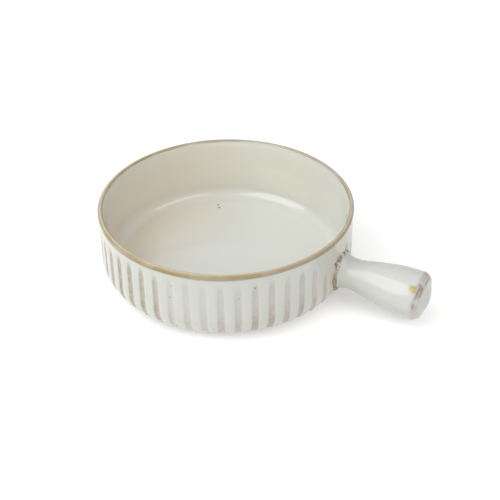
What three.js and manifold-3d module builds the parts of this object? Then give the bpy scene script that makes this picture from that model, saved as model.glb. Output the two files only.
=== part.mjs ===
// A round stoneware pasta bowl with a fluted wall and one hollow stub handle.
// Millimetres, +Z up. The bowl stands on its foot ring at Z = 0, the handle points along +X,
// and the origin is the middle of the footprint on the table.
// The bowl is formed as one body, the handle is cast by itself, and a layer of luting slip joins them.
import * as THREE from 'three';
import { mergeVertices } from 'three/addons/utils/BufferGeometryUtils.js';
import Module from 'manifold-3d';

// Bowl body
const RIM_DIAMETER = 165;
const BOWL_HEIGHT = 55;
const LIP_THICKNESS = 3.2;
const LIP_OVERHANG = 0.4;
const LIP_BLEND_HEIGHT = 5;
const WALL_TAPER = 0.2;
const WALL_THICKNESS = 5.1;
const CORNER_RADIUS = 20.5;
const FILLET_RADIUS = 9;
const FLOOR_THICKNESS = 7;
const FOOT_HEIGHT = 1.6;
const FOOT_INSET = 0.7;
const FOOT_WIDTH = 5;
const FOOT_RECESS = 4.6;

// Flutes pressed into the outside of the wall
const FLUTE_COUNT = 49;
const FLUTE_WIDTH = 4.3;
const FLUTE_DEPTH = 1;
const FLUTE_TOP_GAP = 7.5;
const FLUTE_END_HEIGHT = 5;
const FLUTE_RUN_OUT_RADIUS = 6;
const FLUTE_RUN_OUT_ANGLE = Math.PI / 3;

// Handle; its axis meets the wall at the axis height and droops from there
const HANDLE_AXIS_HEIGHT = 25.3;
const HANDLE_DROOP = Math.PI / 36;
const HANDLE_LENGTH = 58.5;
const HANDLE_ROOT_RADIUS = 12.4;
const HANDLE_NECK_RADIUS = 10.1;
const HANDLE_NECK_OFFSET = 7;
const HANDLE_SWELL_START = 0.2;
const HANDLE_SWELL_END = 0.5;
const HANDLE_END_RADIUS = 16;
const HANDLE_END_ROUND = 7;
const HANDLE_END_CROWN = 2.2;
const HANDLE_WALL = 4;
const HOLLOW_END_ROUND = 3;
const VENT_DIAMETER = 3;
const VENT_OFFSET = 15;

// Luting slip between the handle and the wall
const SLIP_THICKNESS = 0.8;
const SLIP_BEAD_WIDTH = 1.4;
const SLIP_BEAD_HEIGHT = 1.6;
const SLIP_BEAD_TIP = 0.4;
const SEAT_GAP = 0.3;

// Fineness of the round forms, in facets
const BOWL_SEGMENTS = 2 * FLUTE_COUNT;
const CORNER_STEPS = 5;
const LIP_STEPS = 2;
const BLEND_STEPS = 2;
const FILLET_STEPS = 4;
const HANDLE_SEGMENTS = 36;
const HANDLE_STEPS = 3;
const HOLLOW_STEPS = 2;
const VENT_SEGMENTS = 12;
const FLUTE_HALF_SIDES = 5;
const FLUTE_STEPS = 8;

// Sizes that follow from those above
const RIM_RADIUS = RIM_DIAMETER / 2;
const LIP_RADIUS = LIP_THICKNESS / 2;
const LIP_CENTRE = new THREE.Vector2(RIM_RADIUS - LIP_RADIUS, BOWL_HEIGHT - LIP_RADIUS);
const WALL_TOP = new THREE.Vector2(RIM_RADIUS - LIP_OVERHANG, LIP_CENTRE.y - LIP_BLEND_HEIGHT);
const WALL_FOOT = new THREE.Vector2(WALL_TOP.x - WALL_TAPER, FOOT_HEIGHT + CORNER_RADIUS);
const CORNER_CENTRE = new THREE.Vector2(WALL_FOOT.x - CORNER_RADIUS, WALL_FOOT.y);
const FOOT_RADIUS = CORNER_CENTRE.x - FOOT_INSET;
const FLOOR_TOP = FOOT_RECESS + FLOOR_THICKNESS;
const INNER_RADIUS = WALL_FOOT.x - WALL_THICKNESS;
const FILLET_CENTRE = new THREE.Vector2(INNER_RADIUS - FILLET_RADIUS, FLOOR_TOP + FILLET_RADIUS);
const SEAT_RADIUS = wallRadiusAt(HANDLE_AXIS_HEIGHT);
const SEAT_START = -WALL_THICKNESS;
const MOUTH_RADIUS = HANDLE_ROOT_RADIUS - HANDLE_WALL;

const wasm = await Module();
wasm.setup();

/** Outside radius of the plain wall at a height. */
function wallRadiusAt(height) {
  const share = (height - WALL_FOOT.y) / (WALL_TOP.y - WALL_FOOT.y);
  return THREE.MathUtils.lerp(WALL_FOOT.x, WALL_TOP.x, share);
}

/** A closed geometry as a solid that can be joined and cut. */
function solidOf(geometry) {
  geometry.deleteAttribute('normal');
  geometry.deleteAttribute('uv');
  const merged = mergeVertices(geometry);
  const corners = merged.index.array;
  const triangles = [];
  for (let i = 0; i < corners.length; i += 3) {
    const [a, b, c] = corners.slice(i, i + 3);
    if (a !== b && b !== c && c !== a) {
      triangles.push(a, b, c);
    }
  }
  return new wasm.Manifold(new wasm.Mesh({
    numProp: 3,
    vertProperties: merged.attributes.position.array,
    triVerts: new Uint32Array(triangles),
  }));
}

/** A solid as a named mesh with its own material. */
function meshOf(name, solid, finish) {
  const { vertProperties, triVerts } = solid.getMesh();
  const geometry = new THREE.BufferGeometry();
  geometry.setAttribute('position', new THREE.BufferAttribute(vertProperties, 3));
  geometry.setIndex(new THREE.BufferAttribute(triVerts, 1));
  geometry.computeVertexNormals();
  const mesh = new THREE.Mesh(geometry, new THREE.MeshStandardMaterial(finish));
  mesh.name = name;
  return mesh;
}

/** Solid turned about the bowl's axis, a facet's middle facing +X; profile points are (radius, height). */
function turnedAboutBowl(profile) {
  const start = Math.PI / 2 + Math.PI / BOWL_SEGMENTS;
  const geometry = new THREE.LatheGeometry(profile, BOWL_SEGMENTS, start);
  return solidOf(geometry.rotateX(Math.PI / 2));
}

/** Solid drawn along +X from the wall's surface, set at the handle's height and turned by its droop. */
function setOnWall(geometry) {
  return solidOf(geometry.rotateY(HANDLE_DROOP).translate(SEAT_RADIUS, 0, HANDLE_AXIS_HEIGHT));
}

/** Solid turned about the handle's axis; profile points are (radius, distance from the wall's surface). */
function turnedAboutHandle(profile) {
  return setOnWall(new THREE.LatheGeometry(profile, HANDLE_SEGMENTS).rotateZ(-Math.PI / 2));
}

/** Part of a circle in a profile. */
function arc(centre, radius, startAngle, endAngle, steps) {
  const clockwise = endAngle < startAngle;
  const circle = new THREE.EllipseCurve(centre.x, centre.y, radius, radius, startAngle, endAngle, clockwise);
  return circle.getPoints(steps);
}

/** Outside of the bowl from under the corner to the top of the lip, moved outwards by an offset. */
function outerWall(offset) {
  const top = WALL_TOP.clone().add(new THREE.Vector2(offset, 0));
  const lip = LIP_CENTRE.clone().add(new THREE.Vector2(LIP_RADIUS + offset, 0));
  const bend = new THREE.Vector2(0, LIP_BLEND_HEIGHT / 2);
  const blend = new THREE.CubicBezierCurve(top, top.clone().add(bend), lip.clone().sub(bend), lip);
  return [
    ...arc(CORNER_CENTRE, CORNER_RADIUS + offset, -Math.PI / 2, 0, CORNER_STEPS),
    ...blend.getPoints(BLEND_STEPS),
    ...arc(LIP_CENTRE, LIP_RADIUS + offset, 0, Math.PI / 2, LIP_STEPS).slice(1),
  ];
}

/** Underside with the raised foot ring, from the axis outwards. */
function underside() {
  const inner = FOOT_RADIUS - FOOT_WIDTH;
  return [
    new THREE.Vector2(0, FOOT_RECESS),
    new THREE.Vector2(inner - FOOT_RECESS, FOOT_RECESS),
    new THREE.Vector2(inner, 0),
    new THREE.Vector2(FOOT_RADIUS, 0),
    new THREE.Vector2(FOOT_RADIUS, FOOT_HEIGHT),
  ];
}

/** Inside of the bowl from the top of the lip down to the middle of the floor. */
function innerWall() {
  const lip = LIP_CENTRE.clone().sub(new THREE.Vector2(LIP_RADIUS, 0));
  const wall = FILLET_CENTRE.clone().add(new THREE.Vector2(FILLET_RADIUS, 0));
  const bend = new THREE.Vector2(wall.x + WALL_TAPER, WALL_TOP.y);
  const drop = new THREE.QuadraticBezierCurve(lip, bend, wall);
  return [
    ...arc(LIP_CENTRE, LIP_RADIUS, Math.PI / 2, Math.PI, LIP_STEPS).slice(1),
    ...drop.getPoints(BLEND_STEPS).slice(1),
    ...arc(FILLET_CENTRE, FILLET_RADIUS, 0, -Math.PI / 2, FILLET_STEPS).slice(1),
    new THREE.Vector2(0, FLOOR_TOP),
  ];
}

/** Everything inside the bowl's outside surface grown by an offset, as a block to cut a seat with. */
function seatBlock(offset) {
  const wall = outerWall(offset);
  return turnedAboutBowl([
    new THREE.Vector2(0, wall[0].y),
    ...wall,
    new THREE.Vector2(0, wall[wall.length - 1].y),
  ]);
}

/** Path of the round-nosed tool that presses one flute, lifting out of the clay at both ends. */
function fluteStroke(toolRadius) {
  const lift = toolRadius - FLUTE_DEPTH;
  const fade = Math.sqrt(2 * FLUTE_RUN_OUT_RADIUS * FLUTE_DEPTH - FLUTE_DEPTH ** 2);
  const topHeight = BOWL_HEIGHT - FLUTE_TOP_GAP - fade;
  const entryCentre = new THREE.Vector2(wallRadiusAt(topHeight) + lift + FLUTE_RUN_OUT_RADIUS, topHeight);
  const turn = -Math.asin((CORNER_CENTRE.y - FLUTE_END_HEIGHT) / CORNER_RADIUS);
  const exitReach = CORNER_RADIUS + lift + FLUTE_RUN_OUT_RADIUS;
  const outwards = new THREE.Vector2(Math.cos(turn), Math.sin(turn));
  const exitCentre = outwards.multiplyScalar(exitReach).add(CORNER_CENTRE);
  const exitAngle = turn + Math.PI;
  const path = new THREE.Path();
  path.absarc(entryCentre.x, entryCentre.y, FLUTE_RUN_OUT_RADIUS, Math.PI - FLUTE_RUN_OUT_ANGLE, Math.PI);
  path.absarc(CORNER_CENTRE.x, CORNER_CENTRE.y, CORNER_RADIUS + lift, 0, turn, true);
  path.absarc(exitCentre.x, exitCentre.y, FLUTE_RUN_OUT_RADIUS, exitAngle, exitAngle + FLUTE_RUN_OUT_ANGLE);
  const points = path.getSpacedPoints(FLUTE_STEPS).map((point) => new THREE.Vector3(point.x, 0, point.y));
  return new THREE.CatmullRomCurve3(points);
}

/** Clay that the flute tool presses away on the +X side of the bowl. */
function fluteSweep() {
  const toolRadius = ((FLUTE_WIDTH / 2) ** 2 + FLUTE_DEPTH ** 2) / (2 * FLUTE_DEPTH);
  const nose = new THREE.Shape();
  nose.absarc(0, 0, toolRadius, 0, 2 * Math.PI);
  return new THREE.ExtrudeGeometry(nose, {
    curveSegments: FLUTE_HALF_SIDES,
    steps: FLUTE_STEPS,
    extrudePath: fluteStroke(toolRadius),
  });
}

/** Turned bowl with the flutes pressed in all round, save for the plain field that carries the handle. */
function bowlBody() {
  const plainHalfWidth = HANDLE_ROOT_RADIUS + SLIP_BEAD_WIDTH + FLUTE_WIDTH / 2;
  const pitch = (2 * Math.PI) / FLUTE_COUNT;
  const sweep = fluteSweep();
  let body = turnedAboutBowl([...underside(), ...outerWall(0), ...innerWall()]);
  for (let i = 0; i < FLUTE_COUNT; i += 1) {
    const distanceFromHandle = Math.min(i, FLUTE_COUNT - i) * pitch * SEAT_RADIUS;
    if (distanceFromHandle > plainHalfWidth) {
      body = body.subtract(solidOf(sweep.clone().rotateZ(i * pitch)));
    }
  }
  return body;
}

/** Side of the handle from inside the wall to the middle of its end, drawn inwards by an inset. */
function handleSide(inset, endRound, steps) {
  const tip = HANDLE_LENGTH - inset;
  const face = tip - HANDLE_END_CROWN;
  const root = new THREE.Vector2(HANDLE_ROOT_RADIUS - inset, 0);
  const neck = new THREE.Vector2(HANDLE_NECK_RADIUS - inset, HANDLE_NECK_OFFSET);
  const shoulder = new THREE.Vector2(HANDLE_END_RADIUS - inset, face - endRound);
  const flareBend = new THREE.Vector2(neck.x, neck.y / 3);
  const flare = new THREE.QuadraticBezierCurve(root, flareBend, neck);
  const swellLength = shoulder.y - neck.y;
  const swellStart = new THREE.Vector2(neck.x, neck.y + HANDLE_SWELL_START * swellLength);
  const swellEnd = new THREE.Vector2(shoulder.x, shoulder.y - HANDLE_SWELL_END * swellLength);
  const swell = new THREE.CubicBezierCurve(neck, swellStart, swellEnd, shoulder);
  const endCentre = new THREE.Vector2(shoulder.x - endRound, shoulder.y);
  const faceEdge = new THREE.Vector2(endCentre.x, face);
  const crownBend = new THREE.Vector2(faceEdge.x / 2, tip);
  const crown = new THREE.QuadraticBezierCurve(faceEdge, crownBend, new THREE.Vector2(0, tip));
  return [
    new THREE.Vector2(root.x, SEAT_START),
    ...flare.getPoints(steps),
    ...swell.getPoints(2 * steps).slice(1),
    ...arc(endCentre, endRound, 0, Math.PI / 2, steps).slice(1),
    ...crown.getPoints(steps).slice(1),
  ];
}

/** Cast handle: a hollow stub, open where it meets the wall, with a vent underneath near the neck. */
function handle() {
  const inside = handleSide(HANDLE_WALL, HOLLOW_END_ROUND, HOLLOW_STEPS).reverse();
  const outside = handleSide(0, HANDLE_END_ROUND, HANDLE_STEPS);
  const stub = turnedAboutHandle([...inside, ...outside]);
  const ventRadius = VENT_DIAMETER / 2;
  const vent = new THREE.CylinderGeometry(ventRadius, ventRadius, HANDLE_END_RADIUS, VENT_SEGMENTS);
  vent.rotateX(Math.PI / 2).translate(VENT_OFFSET, 0, -HANDLE_END_RADIUS / 2);
  return stub.subtract(seatBlock(SLIP_THICKNESS + 2 * SEAT_GAP)).subtract(setOnWall(vent));
}

/** Luting slip: a layer between the handle's mouth and the wall, with a bead squeezed out round the root. */
function lutingSlip() {
  const outer = HANDLE_ROOT_RADIUS + SLIP_BEAD_WIDTH;
  const beadRoot = HANDLE_ROOT_RADIUS + SEAT_GAP;
  const beadStart = SEAT_GAP + SLIP_THICKNESS;
  const layer = turnedAboutHandle([
    new THREE.Vector2(MOUTH_RADIUS, SEAT_START),
    new THREE.Vector2(outer, SEAT_START),
    new THREE.Vector2(outer, WALL_THICKNESS),
    new THREE.Vector2(MOUTH_RADIUS, WALL_THICKNESS),
    new THREE.Vector2(MOUTH_RADIUS, SEAT_START),
  ]);
  const bead = turnedAboutHandle([
    new THREE.Vector2(beadRoot, SEAT_START),
    new THREE.Vector2(outer, SEAT_START),
    new THREE.Vector2(outer, beadStart),
    new THREE.Vector2(beadRoot + SLIP_BEAD_TIP, SLIP_BEAD_HEIGHT),
    new THREE.Vector2(beadRoot, SLIP_BEAD_HEIGHT),
    new THREE.Vector2(beadRoot, SEAT_START),
  ]);
  return layer.intersect(seatBlock(SEAT_GAP + SLIP_THICKNESS)).add(bead).subtract(seatBlock(SEAT_GAP));
}

const creamGlaze = { color: 0xe3e0d6, roughness: 0.22, metalness: 0 };
const brownSlip = { color: 0xa8977c, roughness: 0.45, metalness: 0 };

const pastaBowl = new THREE.Group();
pastaBowl.add(
  meshOf('bowl_body', bowlBody(), creamGlaze),
  meshOf('handle', handle(), creamGlaze),
  meshOf('luting_slip', lutingSlip(), brownSlip),
);
const footprint = new THREE.Box3().setFromObject(pastaBowl);
pastaBowl.position.x = -(footprint.min.x + footprint.max.x) / 2;

export default pastaBowl;
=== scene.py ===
"""Looks of a fluted stoneware pasta bowl with a stub handle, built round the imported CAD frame."""

from __future__ import annotations

import logging
import math
from dataclasses import asdict, dataclass, field
from enum import Enum
from functools import cached_property
from typing import Callable, Sequence, Union

import bpy
from bpy.types import Material, Mesh, NodeSocket as Socket, NodeTree, Object
from mathutils import Color, Matrix, Vector

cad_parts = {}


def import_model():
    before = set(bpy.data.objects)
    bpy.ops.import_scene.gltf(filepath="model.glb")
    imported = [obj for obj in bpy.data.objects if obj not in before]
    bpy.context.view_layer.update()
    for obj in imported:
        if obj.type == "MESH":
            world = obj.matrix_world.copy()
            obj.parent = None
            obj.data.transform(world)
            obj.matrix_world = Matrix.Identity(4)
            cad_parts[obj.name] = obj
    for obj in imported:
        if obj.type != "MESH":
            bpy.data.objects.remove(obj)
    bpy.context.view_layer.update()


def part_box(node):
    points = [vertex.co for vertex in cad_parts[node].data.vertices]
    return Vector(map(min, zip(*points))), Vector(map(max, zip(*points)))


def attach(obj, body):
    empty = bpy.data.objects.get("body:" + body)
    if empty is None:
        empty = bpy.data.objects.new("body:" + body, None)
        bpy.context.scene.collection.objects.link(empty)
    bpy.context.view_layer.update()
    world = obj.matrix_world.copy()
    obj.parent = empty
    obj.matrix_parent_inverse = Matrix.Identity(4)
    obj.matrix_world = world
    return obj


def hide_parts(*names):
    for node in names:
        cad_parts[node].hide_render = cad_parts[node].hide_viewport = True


LOG = logging.getLogger("pasta_bowl")
MM = 0.001
FULL_TURN = 2 * math.pi
BODY = "root"
WHITE = (1.0, 1.0, 1.0, 1.0)
Value = Union[float, Socket]
NUMBER = "NodeSocketFloat"
SOCKET_KINDS = {int: "NodeSocketInt", float: NUMBER, Material: "NodeSocketMaterial"}


class Slot(Enum):
    """Material slots of the record."""

    BODY = "body_glaze"
    HANDLE = "handle_glaze"
    SLIP = "slip"


class Node(Enum):
    """CAD nodes that the pieces replace."""

    BODY = "bowl_body"
    HANDLE = "handle"
    SLIP = "luting_slip"


def colour(red: int, green: int, blue: int) -> tuple[float, float, float, float]:
    """Turns a display colour, 0 to 255, into the linear colour that a shader takes."""
    linear = Color((red / 255, green / 255, blue / 255)).from_srgb_to_scene_linear()
    return (*linear, 1.0)


def direction(azimuth: float, elevation: float) -> Vector:
    """Finds the unit vector from the bowl towards a place round it.

    Args:
        azimuth: degrees from the front (-Y) towards the handle (+X).
        elevation: degrees above the table.

    Returns:
        The unit vector.
    """
    turn = math.radians(azimuth)
    rise = math.radians(elevation)
    return Vector((math.sin(turn) * math.cos(rise), -math.cos(turn) * math.cos(rise), math.sin(rise)))


@dataclass(frozen=True)
class Step:
    """A smooth change of a value from low at the start to high at the end."""

    start: Value
    end: Value
    low: Value = 0.0
    high: Value = 1.0


@dataclass(frozen=True)
class Grain:
    """A noise: its cells a metre and its finer octaves."""

    cells: float
    octaves: float


@dataclass(frozen=True)
class Waves:
    """A soft unevenness: its height in metres and its noise."""

    height: float
    grain: Grain


class Graph:
    """Builds a node tree: adds nodes, sets their values and links their sockets."""

    def __init__(self, tree: NodeTree) -> None:
        """Keeps the tree to build in."""
        self.tree = tree

    def add(self, kind: str, inputs: dict | None = None, **settings: object) -> bpy.types.Node:
        """Adds a node.

        Args:
            kind: the node's type name.
            inputs: socket name or number to a value, or to a socket to link from.
            settings: properties of the node.

        Returns:
            The new node.
        """
        node = self.tree.nodes.new(kind)
        for name, value in settings.items():
            setattr(node, name, value)
        for key, value in (inputs or {}).items():
            self.feed(node.inputs[key], value)
        return node

    def feed(self, socket: Socket, value: object) -> None:
        """Sets a socket, or links it when the value is a socket.

        Args:
            socket: the input socket.
            value: a constant or an output socket.
        """
        if isinstance(value, Socket):
            self.tree.links.new(value, socket)
        else:
            socket.default_value = value

    def math(self, operation: str, *values: Value) -> Socket:
        """Adds a math node and gives its result."""
        return self.add("ShaderNodeMath", dict(enumerate(values)), operation=operation).outputs[0]

    def product(self, first: Value, *others: Value) -> Value:
        """Multiplies values.

        Args:
            first: the first value.
            others: the values to multiply it by.

        Returns:
            The socket of the product.
        """
        for other in others:
            first = self.math("MULTIPLY", first, other)
        return first

    def vector(self, operation: str, *values: object) -> Socket:
        """Adds a vector math node and gives its vector, or its number for a length or a distance."""
        outputs = self.add("ShaderNodeVectorMath", dict(enumerate(values)), operation=operation).outputs
        return outputs["Value" if operation in ("LENGTH", "DISTANCE") else "Vector"]

    def join(self, *parts: Value) -> Socket:
        """Joins up to three numbers to a vector."""
        return self.add("ShaderNodeCombineXYZ", dict(enumerate(parts))).outputs[0]

    def split(self, vector: Socket) -> bpy.types.NodeOutputs:
        """Splits a vector into the outputs X, Y and Z."""
        return self.add("ShaderNodeSeparateXYZ", {0: vector}).outputs

    def ramp(self, value: Value, step: Step) -> Socket:
        """Adds a smooth step of a value and gives its result."""
        inputs = dict(enumerate((value, step.start, step.end, step.low, step.high)))
        return self.add("ShaderNodeMapRange", inputs, interpolation_type="SMOOTHSTEP").outputs[0]

    def mix(self, share: Value, first: object, second: object) -> Socket:
        """Mixes two colours; the share is that of the second."""
        return self.add("ShaderNodeMix", {0: share, 6: first, 7: second}, data_type="RGBA").outputs[2]

    def noise(self, vector: Socket, grain: Grain) -> bpy.types.NodeOutputs:
        """Adds a noise texture and gives its outputs Fac and Color."""
        inputs = {"Vector": vector, "Scale": grain.cells, "Detail": grain.octaves}
        return self.add("ShaderNodeTexNoise", inputs).outputs


def group_ends(
    tree: NodeTree, inputs: dict[str, str], outputs: dict[str, str]
) -> tuple[bpy.types.NodeOutputs, bpy.types.NodeInputs]:
    """Gives a node group its interface.

    Args:
        tree: the node group.
        inputs: socket type of each input by its name.
        outputs: socket type of each output by its name.

    Returns:
        The sockets that the group is given and those that it puts out.
    """
    for way, sockets in (("INPUT", inputs), ("OUTPUT", outputs)):
        for name, kind in sockets.items():
            tree.interface.new_socket(name, in_out=way, socket_type=kind)
    return tree.nodes.new("NodeGroupInput").outputs, tree.nodes.new("NodeGroupOutput").inputs


@dataclass(frozen=True)
class BowlSizes:
    """Sizes of the bowl, in metres; those from the frame come first."""

    axis_x: float
    rim_radius: float
    height: float
    lip_round: float = 1.6 * MM
    lip_overhang: float = 0.4 * MM
    lip_blend: float = 5 * MM
    wall_taper: float = 0.2 * MM
    wall_thickness: float = 5.1 * MM
    corner_radius: float = 20.5 * MM
    fillet_radius: float = 9 * MM
    floor_top: float = 11.6 * MM
    foot_height: float = 1.6 * MM
    foot_inset: float = 0.7 * MM
    foot_width: float = 5 * MM
    foot_recess: float = 4.6 * MM

    @classmethod
    def from_frame(cls) -> BowlSizes:
        """Reads the rim, the height and the axis from the CAD node of the bowl."""
        low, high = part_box(Node.BODY.value)
        return cls(axis_x=(low.x + high.x) / 2, rim_radius=(high.y - low.y) / 2, height=high.z)

    @property
    def wall_radius(self) -> float:
        """Radius of the outer wall just under the lip."""
        return self.rim_radius - self.lip_overhang

    @property
    def wall_foot_radius(self) -> float:
        """Radius of the outer wall where the bottom corner starts."""
        return self.wall_radius - self.wall_taper

    @property
    def corner_height(self) -> float:
        """Height of the centre of the rounded bottom corner."""
        return self.foot_height + self.corner_radius

    @property
    def inner_radius(self) -> float:
        """Radius of the inner wall where the floor fillet starts."""
        return self.wall_foot_radius - self.wall_thickness

    @property
    def lip_base(self) -> float:
        """Height of the centre of the rounded lip."""
        return self.height - self.lip_round

    @property
    def blend_base(self) -> float:
        """Height at which the lip has blended into the wall."""
        return self.lip_base - self.lip_blend

    @property
    def fillet_run(self) -> float:
        """Run along the section from the top of the lip to the middle of the floor fillet."""
        lip = self.lip_round * math.pi / 2
        wall = self.lip_base - self.floor_top - self.fillet_radius
        return lip + wall + self.fillet_radius * math.pi / 4

    def wall_radius_at(self, height: float) -> float:
        """Finds the outer wall's radius, without flutes.

        Args:
            height: height above the table, between the foot and the lip.

        Returns:
            The radius.
        """
        if height < self.corner_height:
            drop = self.corner_height - height
            reach = math.sqrt(self.corner_radius ** 2 - drop ** 2)
            return self.wall_foot_radius - self.corner_radius + reach
        share = (height - self.corner_height) / (self.blend_base - self.corner_height)
        return self.wall_foot_radius + self.wall_taper * share

    def place(self, radius: float, height: float, angle: float) -> Vector:
        """Finds a point round the bowl's axis from its radius, height and angle."""
        return Vector((self.axis_x + radius * math.cos(angle), radius * math.sin(angle), height))


@dataclass(frozen=True)
class FluteSizes:
    """Sizes of the pressed flutes as the glaze fills them, in metres, and their counts and shares.

    Each is an input of the tree that presses the flutes.
    """

    count: int = 49
    width: float = 6.2 * MM
    flat_share: float = 0.3
    depth: float = 0.65 * MM
    depth_least: float = 0.85
    depth_most: float = 1.1
    swell: float = 0.12 * MM
    top: float = 9.5 * MM
    entry: float = 2 * MM
    entry_share: float = 0.4
    bottom_margin: float = 3.5 * MM
    plain: int = 1
    settling: float = 1.5
    fade_drop: float = 13 * MM
    fade_length: float = 9 * MM
    run_out: float = 18 * MM
    scatter: float = 0.7 * MM
    seed: int = 7


@dataclass(frozen=True)
class ProfilePoint:
    """One point of a turned outline."""

    radius: float
    height: float


class Outline:
    """An outline to be turned about an axis, drawn stretch by stretch from axis to axis."""

    def __init__(self, start: ProfilePoint) -> None:
        """Starts the outline at a point."""
        self.points = [start]

    @property
    def last(self) -> int:
        """Number of the last point."""
        return len(self.points) - 1

    def curve(self, steps: int, *controls: ProfilePoint) -> None:
        """Goes on with a Bezier curve from the last point; one control makes a straight line.

        Args:
            steps: how many parts.
            controls: the control points after the last point, with the end.
        """
        hull = (self.points[-1], *controls)
        degree = len(controls)
        for step in range(1, steps + 1):
            share = step / steps
            weights = [
                math.comb(degree, k) * share ** k * (1 - share) ** (degree - k) for k in range(degree + 1)
            ]
            radius = sum(weight * point.radius for weight, point in zip(weights, hull))
            height = sum(weight * point.height for weight, point in zip(weights, hull))
            self.points.append(ProfilePoint(radius, height))

    def arc(self, steps: int, centre: ProfilePoint, radius: float, start: float, end: float) -> None:
        """Goes on with an arc.

        Args:
            steps: how many parts.
            centre: the arc's centre.
            radius: the arc's radius.
            start: first angle from the outward direction, in degrees.
            end: last angle, in degrees.
        """
        for step in range(1, steps + 1):
            angle = math.radians(start + (end - start) * step / steps)
            across = centre.radius + radius * math.cos(angle)
            self.points.append(ProfilePoint(across, centre.height + radius * math.sin(angle)))

    def runs(self) -> list[float]:
        """Measures along the outline.

        Returns:
            The length from its start to each point.
        """
        lengths = [0.0]
        for before, after in zip(self.points, self.points[1:]):
            step = math.hypot(after.radius - before.radius, after.height - before.height)
            lengths.append(lengths[-1] + step)
        return lengths


def turned_mesh(
    name: str,
    outline: Outline,
    columns: int,
    place: Callable[[float, float, float], Vector],
    **layers: Sequence[float],
) -> Mesh:
    """Turns an outline into a closed mesh.

    Args:
        name: the mesh's name.
        outline: the outline; its two ends become single points.
        columns: how many columns round the axis.
        place: turns radius, height and angle into a position.
        layers: attributes to store, with one value for each point of the outline.

    Returns:
        The mesh.
    """
    inner = outline.points[1:-1]
    points = [place(0.0, outline.points[0].height, 0.0)]
    rows = [0]
    for number, point in enumerate(inner, start=1):
        for column in range(columns):
            points.append(place(point.radius, point.height, FULL_TURN * column / columns))
            rows.append(number)
    points.append(place(0.0, outline.points[-1].height, 0.0))
    rows.append(outline.last)
    faces: list[tuple[int, ...]] = []
    end = len(points) - 1
    end_ring = end - columns
    for column in range(columns):
        following = (column + 1) % columns
        faces.append((0, 1 + following, 1 + column))
        for low in range(1, end_ring, columns):
            high = low + columns
            faces.append((low + column, low + following, high + following, high + column))
        faces.append((end, end_ring + column, end_ring + following))
    mesh = bpy.data.meshes.new(name)
    mesh.from_pydata(points, [], faces)
    for layer, values in layers.items():
        attribute = mesh.attributes.new(layer, "FLOAT", "POINT")
        attribute.data.foreach_set("value", [values[row] for row in rows])
    mesh.shade_smooth()
    mesh.update()
    return mesh


def place_object(name: str, mesh: Mesh) -> Object:
    """Puts a mesh in the scene at the origin.

    Args:
        name: the object's name.
        mesh: its mesh.

    Returns:
        The object.
    """
    piece = bpy.data.objects.new(name, mesh)
    bpy.context.scene.collection.objects.link(piece)
    return piece


def bake_modifiers(piece: Object) -> None:
    """Makes the evaluated shape the plain mesh of a piece.

    Args:
        piece: an object with modifiers.
    """
    graph = bpy.context.evaluated_depsgraph_get()
    mesh = bpy.data.meshes.new_from_object(piece.evaluated_get(graph), depsgraph=graph)
    piece.modifiers.clear()
    piece.data = mesh
    mesh.shade_smooth()


@dataclass
class Piece:
    """A visible piece that takes the place of a CAD node."""

    node: Node
    slot: Slot
    model: Object = field(init=False)

    @property
    def look_name(self) -> str:
        """Name of the visible piece."""
        return self.node.value + "_look"

    def dress(self, material: Material) -> None:
        """Gives the piece its material and ties it to the frame.

        Args:
            material: the finish of the whole piece.
        """
        self.model.data.materials.clear()
        self.model.data.materials.append(material)
        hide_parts(self.node.value)
        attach(self.model, BODY)


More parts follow.
